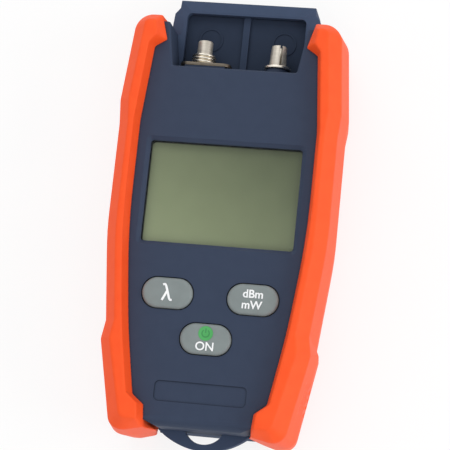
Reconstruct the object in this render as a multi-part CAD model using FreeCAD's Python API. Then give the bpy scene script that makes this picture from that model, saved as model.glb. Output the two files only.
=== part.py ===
import FreeCAD, Part
import math
import os

# Handheld optical power meter with a visible light source, lying on its back.
# +X is the right-hand side of the face, +Y points to the fibre ports and +Z out of the display.
# The origin is at the middle of the footprint, on the surface that the elastomer grips rest on.
V = FreeCAD.Vector
X_AXIS, Y_AXIS, Z_AXIS = V(1, 0, 0), V(0, 1, 0), V(0, 0, 1)

# ---- overall
LENGTH = 147.6            # lanyard loop to hood
FACE_Z = 31.5             # face of the front cover
PARTING_Z = 16.5          # where the two case shells meet
BACK_Z = 0.8              # back of the rear cover, held off the table by the grips
WALL = 2.2                # case wall
CASE_GAP = 0.2            # between the rear cover's inner parts and the front cover's wall

# ---- case in plan: half widths, and heights along Y
LOOP_REACH = 5.6          # lanyard loop beyond the case
HOOD_REACH = 12.1         # hood beyond the ears of the front cover
BAY_LENGTH = 26.4         # connector bay, from its rim to the end of the hood
TOE_HALF = 13.4           # flat end of the case, at the lanyard loop
CHEEK_HALF = 17.0
FOOT_HALF = 28.4          # case side beside the label
SIDE_HALF = 31.4          # case side at its widest
TOE_ROLL = 3.0            # rounding of the face towards the loop
EAR_HALF = 24.6           # ears beside the bay
BAY_HALF = 20.2           # bay at its rim
BAY_FLARE = 2.3           # how much wider the bay is at the ends of the ears
POCKET_HALF = 19.8        # bay below the parting line
HOOD_HALF = 24.8
HOOD_END_HALF = 22.4

# ---- elastomer grips
GRIP_SIDE = 3.9           # thickness on the side of the case
GRIP_CREST = 5.0          # crest above the face
GRIP_FOOT = 3.0           # grip's inner edge on the face, in from the case's widest side
GRIP_BEVEL = 3.8          # outer bevel, from the side to the crest
GRIP_SWELL = 1.1          # side at the parting line beyond the side at the face
GUARD = 1.0               # corner guards beyond the waist
GUARD_LEAN = 2.6          # how far the upper guard leans in towards its top
GRIP_END = 2.5            # grip beyond the case at the loop's end
GRIP_TOP = 2.1            # grip beyond the ears
HOOK_TIP = 8.2            # tip of the grip's hook above the bay's rim
GRIP_RIBS = 4             # ribs' spaces in the recess on each lower guard
RIB_PITCH = 2.3
GRIP_RIB = 0.5            # depth of that recess

# ---- display and keys
WINDOW_SIDE = 6.9         # case's widest side to the display opening
WINDOW_Y = 32.8
WINDOW_BEVEL = 1.2
LENS_LAP = 2.0            # display window beyond its opening, all round
LENS_THICK = 1.2
LCD_THICK = 2.2
BACKLIGHT_THICK = 1.8
LCD_RIM = 1.0             # frame wall round the glass
WINDOW_DOWN = 0.3564      # display's centre, down the face from the bay's rim, as a share of it
KEYS_DOWN = 0.6401
POWER_DOWN = 0.7578
KEY_SIDE = 17.8           # case's widest side to a key's centre
KEY_LONG, KEY_WIDE = 16.3, 9.8
KEY_PROUD = 1.0
KEY_FLANGE = 1.2          # flange round a key, under the face
KEY_FLANGE_THICK = 1.0
KEY_GAP = 0.25
KEY_TRAVEL = 0.8
SWITCH_SIZE = 6.0
SWITCH_HIGH = 3.5
PLUNGER = 3.2             # square plunger, across its flats
LABEL_X, LABEL_Y = 29.2, 6.5
LABEL_DEEP = 0.35
LABEL_ABOVE_END = 10.9

# ---- fibre ports
PORT_X = 12.2
PORT_Z = 19.5
BAY_FLOOR_Z = 13.5        # back wall of the bay
PANEL_THICK = 2.2
PAD_THICK = 2.4           # raised seat of the detector port
FLANGE_X, FLANGE_Z, FLANGE_THICK = 16.6, 9.0, 1.1
FLANGE_SHIFT = 1.2        # flange's middle, off the port's axis towards the middle of the bay
PAD_INSET = 1.7           # pad's ends, in from the flange's
THREAD_R = 4.0            # M8 thread of the detector port
THREAD_LONG = 3.3
SLEEVE_R = 2.45
SLEEVE_PROUD = 4.8        # detector sleeve beyond its thread
FERRULE_R = 1.26          # bore for a 2.5 mm ferrule
DISC_R, DISC_THICK = 4.4, 0.9
LIGHT_SEAT = 1.0          # light port's boss beyond the detector's pad
LIGHT_SLEEVE_R = 2.85     # root of the tapered light sleeve
LIGHT_TIP_R = 2.45
LIGHT_SLEEVE_LONG = 7.1
SLIT = 0.8
SPIGOT_R = 3.2            # ports behind the panel
PORT_SCREW_HEAD_R = 1.9
PORT_GAP = 0.05

# ---- inside
BOARD_Z = 20.3
BOARD_THICK = 1.6
BOARD_HALF = 25.5
BOARD_ABOVE_END = 14.0
BOARD_TAPER, BOARD_TAPER_LONG = 2.5, 12.0    # its lower corners, in from its sides
SCREW_X = 20.5
SCREW_BELOW_RIM = 8.2
SCREW_ABOVE_END = 24.4
SCREW_R = 1.5
SCREW_HEAD_R, SCREW_HEAD = 2.7, 2.0
SCREW_SUNK = 5.2          # from the back to the seat of a screw's head
BOSS_R = 4.8              # rear screw boss, which carries the board
PILLAR_R = 3.5            # front screw boss, which passes through the board
PILLAR_FIT = 0.15
LEAD, LEAD_LONG = 0.5, 5.0          # square leads of the photodiode and the laser module
LEAD_PITCH = 2.54
DIODE_LONG = 4.4
LASER_LONG = 8.0
CHIP_SIZE, CHIP_THICK = 8.0, 1.4
CHIP_BELOW_POWER = 9.5
CELL_R, CELL_LONG = 7.1, 50.2
CELL_NUB_R, CELL_NUB = 2.6, 1.2
CELL_GAP = 0.2
CONTACT = 2.2             # length taken by the contacts at each end of the cells
CONTACT_HALF = 4.5        # contact plate, half its height, and half its width at one cell
LEAF_WIDE, LEAF_HALF, LEAF_SHEET = 3.0, 3.5, 0.4
TRAY_WALL = 1.5
DOOR_THICK = 2.0
DOOR_TONGUE = 0.9
DOOR_LEDGE = 1.0
DOOR_GAP = 0.15

# ---- worked out from the sizes above
HOOD_Y = LENGTH / 2
END_Y = LOOP_REACH - LENGTH / 2
EAR_Y = HOOD_Y - HOOD_REACH
RIM_Y = HOOD_Y - BAY_LENGTH
FACE_LONG = RIM_Y - END_Y
WINDOW_MID = RIM_Y - WINDOW_DOWN * FACE_LONG
KEYS_Y = RIM_Y - KEYS_DOWN * FACE_LONG
POWER_Y = RIM_Y - POWER_DOWN * FACE_LONG
LABEL_MID = END_Y + LABEL_ABOVE_END
WINDOW_X = 2 * (SIDE_HALF - WINDOW_SIDE)
KEY_X = SIDE_HALF - KEY_SIDE
CEILING_Z = FACE_Z - WALL
BOARD_TOP = BOARD_Z + BOARD_THICK
HEAD_SEAT = BACK_Z + SCREW_SUNK
PLUNGER_TOP = BOARD_TOP + SWITCH_HIGH + KEY_TRAVEL + 0.2
FLOOR_Z = BACK_Z + WALL
PANEL_Y = RIM_Y - PANEL_THICK
FLANGE_MID = -PORT_X + FLANGE_SHIFT
KEYS = {"wavelength": (-KEY_X, KEYS_Y), "unit": (KEY_X, KEYS_Y), "power": (0.0, POWER_Y)}
SCREW_ROWS = (RIM_Y - SCREW_BELOW_RIM, END_Y + SCREW_ABOVE_END)
SCREWS = [(side * SCREW_X, y) for side in (-1, 1) for y in SCREW_ROWS]
TRAY_HALF = 2 * CELL_R + 3 * CELL_GAP / 2
TRAY_START = END_Y + WALL
TRAY_END = TRAY_START + CELL_LONG + 2 * CONTACT
TRAY_TOP = BACK_Z + DOOR_THICK + 2 * CELL_GAP + 2 * CELL_R
DOOR_HALF = TRAY_HALF + DOOR_LEDGE


# ---- shapes from outlines
def rounded_wire(corners, z):
    """Closed wire through (x, y, radius) corners; radius 0 keeps the corner sharp."""
    count = len(corners)
    spots = [V(x, y, z) for x, y, r in corners]
    ends = []
    for i, (x, y, radius) in enumerate(corners):
        here = spots[i]
        back = (spots[i - 1] - here).normalize()
        ahead = (spots[(i + 1) % count] - here).normalize()
        if radius == 0:
            ends.append((here, None, here))
            continue
        half = back.getAngle(ahead) / 2
        inward = (back + ahead).normalize()
        setback = radius / math.tan(half)
        middle = here + inward * (radius / math.sin(half) - radius)
        ends.append((here + back * setback, middle, here + ahead * setback))
    edges = []
    for i, (start, middle, stop) in enumerate(ends):
        if middle is not None:
            edges.append(Part.Arc(start, middle, stop).toShape())
        edges.append(Part.LineSegment(stop, ends[(i + 1) % count][0]).toShape())
    return Part.Wire(edges)


def mirrored(half):
    """Closed outline from its right half, listed from the bottom to the top."""
    return half + [(-x, y, r) for x, y, r in reversed(half)]


def prism(corners, z0, z1):
    return Part.Face(rounded_wire(corners, z0)).extrude(V(0, 0, z1 - z0))


def inset_prism(corners, inset, z0, z1):
    """Prism inside an outline, a wall's thickness in from it."""
    face = Part.Face(rounded_wire(corners, z0)).makeOffset2D(-inset)
    return face.extrude(V(0, 0, z1 - z0))


def lofted(levels):
    """Ruled solid through outlines of the same make-up at (height, corners)."""
    return Part.makeLoft([rounded_wire(corners, z) for z, corners in levels], True, True)


def box(x0, x1, y0, y1, z0, z1):
    return Part.makeBox(x1 - x0, y1 - y0, z1 - z0, V(x0, y0, z0))


def rectangle(x, y, size_x, size_y, r):
    return [(x - size_x / 2, y - size_y / 2, r), (x + size_x / 2, y - size_y / 2, r),
            (x + size_x / 2, y + size_y / 2, r), (x - size_x / 2, y + size_y / 2, r)]


def pill(x, y, grow, z0, z1):
    """Key outline, grown all round, with ends that are nearly full rounds."""
    wide = KEY_WIDE + 2 * grow
    return prism(rectangle(x, y, KEY_LONG + 2 * grow, wide, wide * 0.48), z0, z1)


def rod(r, x, y, z0, z1):
    return Part.makeCylinder(r, z1 - z0, V(x, y, z0), Z_AXIS)


def along_port(r, x, y0, y1, r_end=None):
    """Round bar on a port's axis, tapered where its end has its own radius."""
    if r_end is None:
        return Part.makeCylinder(r, y1 - y0, V(x, y0, PORT_Z), Y_AXIS)
    return Part.makeCone(r, r_end, y1 - y0, V(x, y0, PORT_Z), Y_AXIS)


def leads(x, y0, y1):
    """Two square leads that run along a port's axis."""
    half = LEAD / 2
    pair = [box(x + way * LEAD_PITCH / 2 - half, x + way * LEAD_PITCH / 2 + half, y0, y1,
                PORT_Z - half, PORT_Z + half) for way in (-1, 1)]
    return pair[0].fuse(pair[1])


def along_face(share):
    """Y at a share of the face's length, up from the case's end."""
    return END_Y + share * FACE_LONG


def edges_at(shape, z, inside):
    """Edges that lie at one height and whose middles the test accepts."""
    found = []
    for edge in shape.Edges:
        b = edge.BoundBox
        if abs(b.ZMin - z) < 1e-4 and abs(b.ZMax - z) < 1e-4:
            if inside(b.Center.x, b.Center.y):
                found.append(edge)
    return found


# ---- outlines of the case
def case_half():
    return [(TOE_HALF, END_Y, 0), (CHEEK_HALF, END_Y + 1.5, 0), (FOOT_HALF - 3.2, END_Y + 1.7, 4.0),
            (FOOT_HALF + 0.6, along_face(0.251), 0), (SIDE_HALF, along_face(0.574), 60),
            (SIDE_HALF, EAR_Y - 9.5, 3.0), (SIDE_HALF - 4.0, EAR_Y - 2.4, 3.0), (EAR_HALF, EAR_Y, 0)]


def notch_half(grow):
    """Mouth of the connector bay in the front cover, grown to its bay walls."""
    slope = BAY_FLARE / (EAR_Y - RIM_Y)
    over = 2.0
    end = EAR_Y + over
    return [(BAY_HALF + grow, RIM_Y, 0.8), (BAY_HALF + grow + slope * (end - RIM_Y), end, 0)]


def hood_half(inset):
    return [(HOOD_HALF - inset, EAR_Y - 10.0, 0), (HOOD_HALF - inset, EAR_Y + 0.6, 0),
            (HOOD_HALF - 0.6 - inset, HOOD_Y - 4.6 - inset * 0.6, 0),
            (HOOD_END_HALF + 0.2 - inset, HOOD_Y - 2.6 - inset * 0.6, 0),
            (HOOD_END_HALF - inset, HOOD_Y - inset, 0)]


# ---- front cover
def key_openings():
    cuts = [pill(x, y, KEY_GAP, CEILING_Z - 1, FACE_Z + 1) for x, y in KEYS.values()]
    return cuts[0].multiFuse(cuts[1:])


def window_opening():
    """Display opening, whose edge is bevelled down to half the plate."""
    plain = prism(rectangle(0, WINDOW_MID, WINDOW_X, WINDOW_Y, 1.0), CEILING_Z - 1, FACE_Z + 1)
    low = rectangle(0, WINDOW_MID, WINDOW_X, WINDOW_Y, 1.0)
    high = rectangle(0, WINDOW_MID, WINDOW_X + 2 * WINDOW_BEVEL, WINDOW_Y + 2 * WINDOW_BEVEL, 1.6)
    return plain.fuse(lofted([(FACE_Z - WALL / 2, low), (FACE_Z, high)]))


def front_boss(x, y):
    """Screw boss that passes through the board and stands on the rear boss."""
    pillar = rod(PILLAR_R, x, y, BOARD_Z + PILLAR_FIT, CEILING_Z)
    return pillar.cut(rod(SCREW_R, x, y, BOARD_Z + PILLAR_FIT, CEILING_Z - 2.0))


def toe_roll():
    """What the rounded end of the face takes off, between the grips."""
    square = box(-CHEEK_HALF, CHEEK_HALF, END_Y - 1, END_Y + TOE_ROLL, FACE_Z - TOE_ROLL, FACE_Z + 1)
    axis_start = V(-CHEEK_HALF, END_Y + TOE_ROLL, FACE_Z - TOE_ROLL)
    return square.cut(Part.makeCylinder(TOE_ROLL, 2 * CHEEK_HALF, axis_start, X_AXIS))


def front_cover():
    shell = prism(mirrored(case_half()), PARTING_Z, FACE_Z)
    shell = shell.cut(toe_roll())
    hollow = inset_prism(mirrored(case_half()), WALL, PARTING_Z, CEILING_Z)
    bay_walls = prism(mirrored(notch_half(TRAY_WALL)), PARTING_Z, CEILING_Z)
    shell = shell.cut(hollow.cut(bay_walls))
    panel_slot = box(-BAY_HALF - TRAY_WALL, BAY_HALF + TRAY_WALL, PANEL_Y, RIM_Y, PARTING_Z, CEILING_Z)
    shell = shell.cut(prism(mirrored(notch_half(0)), PARTING_Z - 1, FACE_Z + 1)).cut(panel_slot)
    rim = edges_at(shell, FACE_Z, lambda x, y: abs(x) < BAY_HALF + BAY_FLARE and y > RIM_Y - 0.1)
    shell = shell.makeChamfer(0.6, rim)
    shell = shell.cut(window_opening()).cut(key_openings())
    shell = shell.cut(prism(rectangle(0, LABEL_MID, LABEL_X, LABEL_Y, 1.6), FACE_Z - LABEL_DEEP, FACE_Z + 1))
    return shell.multiFuse([front_boss(x, y) for x, y in SCREWS]).removeSplitter()


# ---- rear cover
def hood(z_top):
    """Outer form of the hood, whose rim falls away outwards."""
    slope = 1.0
    block = prism(mirrored(hood_half(0)), BACK_Z, z_top - slope)
    rim = [(z_top - slope, mirrored(hood_half(0))), (z_top, mirrored(hood_half(3.6)))]
    under_ears = box(-HOOD_HALF, HOOD_HALF, EAR_Y - 10.0, EAR_Y, z_top - slope, z_top)
    return block.fuse(lofted(rim)).fuse(under_ears)


def lanyard_loop():
    """Flat arc on the case's end with a D-shaped eye."""
    thick = 4.0
    half_chord = TOE_HALF + 1.2
    radius = (half_chord ** 2 + LOOP_REACH ** 2) / (2 * LOOP_REACH)
    z0 = PARTING_Z - thick
    disc = rod(radius, 0, END_Y - LOOP_REACH + radius, z0, PARTING_Z)
    disc = disc.common(box(-half_chord, half_chord, END_Y - LOOP_REACH, END_Y + WALL, z0, PARTING_Z))
    eye_half, eye_deep = 6.1, 3.6
    eye_r = (eye_half ** 2 + eye_deep ** 2) / (2 * eye_deep)
    eye = rod(eye_r, 0, END_Y - eye_deep + eye_r, z0 - 1, PARTING_Z + 1)
    return disc, eye.common(box(-eye_half, eye_half, END_Y - LOOP_REACH, END_Y, z0 - 1, PARTING_Z + 1))


def case_back():
    """Everything outside the rear cover's cavities: shell, hood and loop."""
    loop, eye = lanyard_loop()
    back = prism(mirrored(case_half()), BACK_Z, PARTING_Z)
    return back.fuse(hood(PARTING_Z)).fuse(loop).cut(eye)


def bay_pocket():
    """Connector bay below the parting line, with its rib left standing."""
    corner_r = 1.5
    lip_y = HOOD_Y - 4.4
    mid_y = (PANEL_Y + lip_y) / 2
    outline = rectangle(0, mid_y, 2 * POCKET_HALF, lip_y - PANEL_Y, corner_r)
    pocket = prism(outline, BAY_FLOOR_Z, PARTING_Z + 1)
    square_start = box(-POCKET_HALF, POCKET_HALF, PANEL_Y, RIM_Y, BAY_FLOOR_Z, PARTING_Z + 1)
    rib = box(-1.1, 1.1, RIM_Y, lip_y, BAY_FLOOR_Z, BAY_FLOOR_Z + 1.0)
    return pocket.fuse(square_start).cut(rib)


def rear_cavity():
    """Inside of the rear cover: full depth in the case, shallow behind the bay."""
    deep = inset_prism(mirrored(case_half()), WALL, FLOOR_Z, PARTING_Z)
    bay_block = box(-BAY_HALF - TRAY_WALL, BAY_HALF + TRAY_WALL, PANEL_Y, HOOD_Y, FLOOR_Z, PARTING_Z)
    bay_block = bay_block.fuse(prism(mirrored(notch_half(TRAY_WALL)), FLOOR_Z, PARTING_Z))
    behind = inset_prism(mirrored(hood_half(0)), WALL, FLOOR_Z, BAY_FLOOR_Z - WALL)
    return deep.cut(bay_block).fuse(behind)


def rear_boss(x, y):
    """Outer form of a boss that reaches up to the board."""
    return rod(BOSS_R, x, y, BACK_Z, BOARD_Z)


def rear_boss_bore(x, y):
    """Counterbore for the head, and the clearance hole above it."""
    head = rod(SCREW_R + 1.4, x, y, BACK_Z, HEAD_SEAT)
    return head.fuse(rod(SCREW_R + 0.2, x, y, HEAD_SEAT, BOARD_Z))


def door_form(gap):
    """Battery door with its side tongues, grown by a gap where it slides."""
    face = box(-DOOR_HALF - gap, DOOR_HALF + gap, END_Y, TRAY_END + DOOR_LEDGE + gap,
               BACK_Z, BACK_Z + DOOR_THICK + gap)
    tongues = box(-DOOR_HALF - DOOR_LEDGE - gap, DOOR_HALF + DOOR_LEDGE + gap, END_Y, TRAY_END + gap,
                  BACK_Z + DOOR_THICK - DOOR_TONGUE - gap, BACK_Z + DOOR_THICK + gap)
    return face.fuse(tongues)


def rear_cover():
    shell = case_back().cut(rear_cavity()).cut(bay_pocket())
    tray = box(-TRAY_HALF - TRAY_WALL, TRAY_HALF + TRAY_WALL, TRAY_START, TRAY_END + TRAY_WALL,
               FLOOR_Z, TRAY_TOP + TRAY_WALL)
    front_wall = prism(mirrored(case_half()), PARTING_Z, FACE_Z)
    front_wall = front_wall.cut(inset_prism(mirrored(case_half()), WALL + CASE_GAP, PARTING_Z, FACE_Z))
    tray = tray.cut(front_wall)
    rails = box(-DOOR_HALF - 2 * DOOR_LEDGE - TRAY_WALL, DOOR_HALF + 2 * DOOR_LEDGE + TRAY_WALL,
                TRAY_START, TRAY_END + 2 * DOOR_LEDGE, FLOOR_Z, FLOOR_Z + TRAY_WALL)
    shell = shell.fuse(tray).fuse(rails).multiFuse([rear_boss(x, y) for x, y in SCREWS])
    cells = box(-TRAY_HALF, TRAY_HALF, TRAY_START, TRAY_END, BACK_Z, TRAY_TOP)
    shell = shell.cut(cells).cut(door_form(DOOR_GAP))
    for x, y in SCREWS:
        shell = shell.cut(rear_boss_bore(x, y))
    return shell.removeSplitter()


# ---- elastomer grips
def grip_outline(out, foot, wrap, end):
    """Right grip's outline at one height, anticlockwise from its end beside the loop.

    out moves the outer side and foot the inner edge; wrap is 0 at the face and 1 round the widest
    part of the side, where the corner guards stand out more and start nearer to the corners; end
    is the x and the y, from the case's end, of the corner beside the loop.
    """
    side = SIDE_HALF + GRIP_SIDE + out
    low = FOOT_HALF + GRIP_SIDE + out
    inner = SIDE_HALF - GRIP_FOOT + foot
    inset = min(out, 0)
    bottom = END_Y - GRIP_END - 0.5 * wrap - 0.95 * inset
    top = EAR_Y + GRIP_TOP + 0.8 * inset
    tip_y = RIM_Y + HOOK_TIP
    end_x, end_y = end
    return [
        (end_x, END_Y + end_y, 0),
        (CHEEK_HALF + 5.6 + 0.8 * inset, bottom + 0.2, 0),
        (low - 4.8 + 0.8 * wrap, bottom, 4.5 + 0.6 * inset),
        (low + GUARD, along_face(0.2206) + 1.8 * wrap, 0),
        (low, along_face(0.2725) - 2.2 * wrap, 0),
        (side, along_face(0.5225), 120),
        (side - 0.1, along_face(0.8209) + 4.8 * wrap, 0),
        (side + GUARD / 2, along_face(0.8901) + wrap, 0),
        (side + GUARD / 2 - GUARD_LEAN, top, 6.0 + 1.2 * inset),
        (EAR_HALF + 0.3 + foot, top, 0),
        (EAR_HALF - 2.0 + 2.2 * foot, tip_y + 0.4 * foot, 0),
        (SIDE_HALF - 5.0 + foot, tip_y - 2.4 + 0.2 * foot, 0),
        (inner + 0.1, along_face(0.8339), 0),
        (inner + 0.1, along_face(0.5398), 250),
        (inner - 3.4, along_face(0.2673), 250),
        (inner - 7.2, END_Y + 9.1, 0),
        (CHEEK_HALF + 0.4 + foot, END_Y + 6.1, 0),
        (CHEEK_HALF + foot, END_Y + 1.3 + foot, 0),
    ]


def grip_body(deeper):
    """Right grip from its rear pad, out round the side, to the crest beside the face."""
    end = CHEEK_HALF
    levels = [(0.0, (-2.4, 1.5, 0.5, (end + 0.6, -0.6))),
              (FLOOR_Z, (-0.3, 0.0, 0.8, (end + 0.4, -1.0))),
              (PARTING_Z + 1.0, (GRIP_SWELL, 0.0, 1.0, (end - 2.4, -0.4))),
              (FACE_Z + 0.2, (0.0, 0.0, 0.0, (end + 0.2, -1.1))),
              (FACE_Z + GRIP_CREST, (-GRIP_BEVEL, 1.4, 0.0, (end + 1.4, 1.2)))]
    return lofted([(z, grip_outline(out - deeper, foot, wrap, end)) for z, (out, foot, wrap, end) in levels])


def grip_recess():
    """Shallow recess on the lower guard's side, with small ribs left standing in it."""
    y0 = END_Y + 8.4
    rib = RIB_PITCH / 3
    outside = box(FOOT_HALF - 6, SIDE_HALF + 20, y0, y0 + GRIP_RIBS * RIB_PITCH, BACK_Z + 5, PARTING_Z + 9)
    recess = outside.cut(grip_body(GRIP_RIB))
    for i in range(1, GRIP_RIBS):
        y = y0 + i * RIB_PITCH
        recess = recess.cut(box(0, SIDE_HALF + 20, y - rib / 2, y + rib / 2, BACK_Z, FACE_Z))
    return recess


def grip(side, case):
    body = grip_body(0).cut(grip_recess())
    if side < 0:
        body = body.mirror(V(0, 0, 0), X_AXIS)
    return body.cut(case)


# ---- display
def lens_rectangle(inset):
    return rectangle(0, WINDOW_MID, WINDOW_X + 2 * (LENS_LAP - inset), WINDOW_Y + 2 * (LENS_LAP - inset), 0)


def display_window():
    return prism(lens_rectangle(0), CEILING_Z - LENS_THICK, CEILING_Z)


def lcd_frame():
    """Frame on the board that carries backlight and glass under the window."""
    top = CEILING_Z - LENS_THICK
    ledge = top - LCD_THICK - BACKLIGHT_THICK - 0.7
    frame = prism(lens_rectangle(0), BOARD_TOP, top)
    frame = frame.cut(prism(lens_rectangle(LCD_RIM), ledge, top))
    return frame.cut(prism(lens_rectangle(LCD_RIM + 2.0), BOARD_TOP, ledge))


def lcd_layer(z0, thick):
    gap = 0.1
    return prism(lens_rectangle(LCD_RIM + gap), z0, z0 + thick)


def backlight():
    return lcd_layer(CEILING_Z - LENS_THICK - LCD_THICK - BACKLIGHT_THICK - 0.7, BACKLIGHT_THICK)


def lcd_panel():
    return lcd_layer(CEILING_Z - LENS_THICK - LCD_THICK - 0.7, LCD_THICK)


# ---- keys
def key_cap(x, y):
    """Pill-shaped cap, its flange under the face, and the stem that meets the plunger."""
    flange_top = CEILING_Z - 0.3
    cap = pill(x, y, 0, flange_top, FACE_Z + KEY_PROUD)
    crown = edges_at(cap, FACE_Z + KEY_PROUD, lambda ex, ey: True)
    cap = cap.makeChamfer(0.5, crown)
    flange = pill(x, y, KEY_FLANGE, flange_top - KEY_FLANGE_THICK, flange_top)
    stem = post(x, y, 0, PLUNGER_TOP, flange_top - KEY_FLANGE_THICK)
    return cap.fuse(flange).fuse(stem)


def post(x, y, grow, z0, z1):
    """Square bar of the plunger's size, grown all round."""
    return prism(rectangle(x, y, PLUNGER + 2 * grow, PLUNGER + 2 * grow, 0), z0, z1)


def switch_body(x, y):
    body = prism(rectangle(x, y, SWITCH_SIZE, SWITCH_SIZE, 0), BOARD_TOP, BOARD_TOP + SWITCH_HIGH)
    return body.cut(post(x, y, 0.1, BOARD_TOP + 1.2, BOARD_TOP + SWITCH_HIGH))


def switch_plunger(x, y):
    """Plunger that stands out of the switch by its travel and stays clear of the bottom."""
    return post(x, y, 0, BOARD_TOP + 1.2 + KEY_TRAVEL + 0.2, PLUNGER_TOP)


# ---- electronics
def main_board():
    """Board with holes for the front bosses and slots behind the two ports."""
    low, high = END_Y + BOARD_ABOVE_END, PANEL_Y - 1.5
    taper_end = low + BOARD_TAPER_LONG
    half = [(BOARD_HALF - BOARD_TAPER, low, 0), (BOARD_HALF, taper_end, 0), (BOARD_HALF, high, 0)]
    board = prism(mirrored(half), BOARD_Z, BOARD_TOP)
    for x, y in SCREWS:
        board = board.cut(rod(PILLAR_R + PILLAR_FIT, x, y, BOARD_Z, BOARD_TOP))
    for side in (-1, 1):
        near, far = side * PORT_X - SPIGOT_R - 0.6, side * PORT_X + SPIGOT_R + 0.6
        board = board.cut(box(near, far, PANEL_Y - 12.0, high, BOARD_Z, BOARD_TOP))
    return board


def chip(x, y, size):
    return prism(rectangle(x, y, size, size, 0), BOARD_TOP, BOARD_TOP + CHIP_THICK)


# ---- fibre ports
def port_panel():
    """Bulkhead at the bay's rim, with a raised seat for each port."""
    half = BAY_HALF + TRAY_WALL - 0.1
    panel = box(-half, half, PANEL_Y, RIM_Y, BAY_FLOOR_Z, CEILING_Z)
    low = box(-POCKET_HALF + 0.1, POCKET_HALF - 0.1, PANEL_Y, RIM_Y, BAY_FLOOR_Z, PARTING_Z)
    panel = panel.cut(box(-half, half, PANEL_Y, RIM_Y, BAY_FLOOR_Z, PARTING_Z)).fuse(low)
    pad_half = FLANGE_X / 2 - PAD_INSET
    seat = box(FLANGE_MID - pad_half, FLANGE_MID + pad_half, RIM_Y, RIM_Y + PAD_THICK,
               PORT_Z - FLANGE_Z / 2, PORT_Z + FLANGE_Z / 2)
    light_seat = along_port(DISC_R - 0.6, PORT_X, RIM_Y, RIM_Y + PAD_THICK + LIGHT_SEAT)
    panel = panel.fuse(seat).fuse(light_seat)
    for side in (-1, 1):
        panel = panel.cut(along_port(SPIGOT_R + PORT_GAP, side * PORT_X, PANEL_Y, RIM_Y + 10))
    for x in port_screw_places():
        panel = panel.cut(along_port(0.9, x, PANEL_Y, RIM_Y + PAD_THICK))
    return panel


def port_screw_places():
    return [FLANGE_MID + way * (FLANGE_X / 2 - 2.3) for way in (-1, 1)]


def detector_port():
    """Receptacle in one turned and milled piece: flange, thread, spigot and stepped bore."""
    base = RIM_Y + PAD_THICK
    flat = [(x, z, r) for x, z, r in rectangle(FLANGE_MID, PORT_Z, FLANGE_X, FLANGE_Z, 2.4)]
    flange = Part.Face(rounded_wire(flat, 0)).extrude(V(0, 0, FLANGE_THICK))
    flange.rotate(V(0, 0, 0), X_AXIS, 90)
    flange.translate(V(0, base + FLANGE_THICK, 0))
    top = base + FLANGE_THICK + THREAD_LONG
    body = flange.fuse(along_port(THREAD_R, -PORT_X, base, top))
    body = body.fuse(along_port(SPIGOT_R, -PORT_X, PANEL_Y - 3.0, base + 0.5))
    body = body.cut(along_port(SLEEVE_R + PORT_GAP / 2, -PORT_X, PANEL_Y - 3.0, top))
    for x in port_screw_places():
        body = body.cut(along_port(1.1, x, base, base + FLANGE_THICK))
        body = body.cut(along_port(1.1, x, base + FLANGE_THICK - 0.9, base + FLANGE_THICK,
                                   PORT_SCREW_HEAD_R + 0.1))
    return body


def detector_sleeve():
    tip = RIM_Y + PAD_THICK + FLANGE_THICK + THREAD_LONG + SLEEVE_PROUD
    tube = along_port(SLEEVE_R, -PORT_X, PANEL_Y, tip)
    rim = [e for e in tube.Edges if abs(e.BoundBox.YMin - tip) < 1e-4 and abs(e.BoundBox.YMax - tip) < 1e-4]
    tube = tube.makeChamfer(0.3, rim)
    return tube.cut(along_port(FERRULE_R, -PORT_X, PANEL_Y, tip))


def port_screws():
    """Two countersunk screws that hold the detector's flange."""
    base = RIM_Y + PAD_THICK
    screws = []
    for x in port_screw_places():
        shank = along_port(0.85, x, PANEL_Y, base + FLANGE_THICK)
        head = along_port(0.85, x, base + FLANGE_THICK - 0.85, base + FLANGE_THICK, PORT_SCREW_HEAD_R)
        screws.append(shank.fuse(head))
    return Part.makeCompound(screws)


def light_port():
    """Disc flange of the visible light port, with the spigot in the panel."""
    base = RIM_Y + PAD_THICK + LIGHT_SEAT
    body = along_port(DISC_R, PORT_X, base, base + DISC_THICK)
    body = body.fuse(along_port(SPIGOT_R, PORT_X, PANEL_Y - 2.0, base + 0.3))
    return body.cut(along_port(LIGHT_SLEEVE_R + PORT_GAP / 2, PORT_X, PANEL_Y - 2.0, base + DISC_THICK))


def light_sleeve():
    """Tapered bush with a slit, so that it grips the ferrule."""
    base = RIM_Y + PAD_THICK + LIGHT_SEAT + DISC_THICK
    tip = base + LIGHT_SLEEVE_LONG
    bush = along_port(LIGHT_SLEEVE_R, PORT_X, PANEL_Y + 1.0, base)
    bush = bush.fuse(along_port(LIGHT_SLEEVE_R, PORT_X, base, tip, LIGHT_TIP_R))
    bush = bush.cut(along_port(FERRULE_R, PORT_X, PANEL_Y + 1.0, tip))
    slit = box(PORT_X, PORT_X + 4, base + 0.2, tip, PORT_Z - SLIT / 2, PORT_Z + SLIT / 2)
    slit.rotate(V(PORT_X, 0, PORT_Z), Y_AXIS, -52)
    return bush.cut(slit)


def photodiode():
    """Detector in its can, behind the sleeve, with its leads towards the board."""
    back = PANEL_Y - DIODE_LONG
    can = along_port(SLEEVE_R - 0.1, -PORT_X, back, PANEL_Y)
    rim = along_port(SPIGOT_R, -PORT_X, back, PANEL_Y - 3.0)
    return can.fuse(rim).fuse(leads(-PORT_X, back - LEAD_LONG, back))


def light_source():
    """Laser module pressed against the light port, with its leads towards the board."""
    back = PANEL_Y - LASER_LONG
    can = along_port(LIGHT_SLEEVE_R - 0.1, PORT_X, back, PANEL_Y + 1.0)
    body = can.fuse(along_port(SPIGOT_R, PORT_X, back, PANEL_Y - 2.0))
    return body.fuse(leads(PORT_X, back - LEAD_LONG / 2, back))


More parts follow.
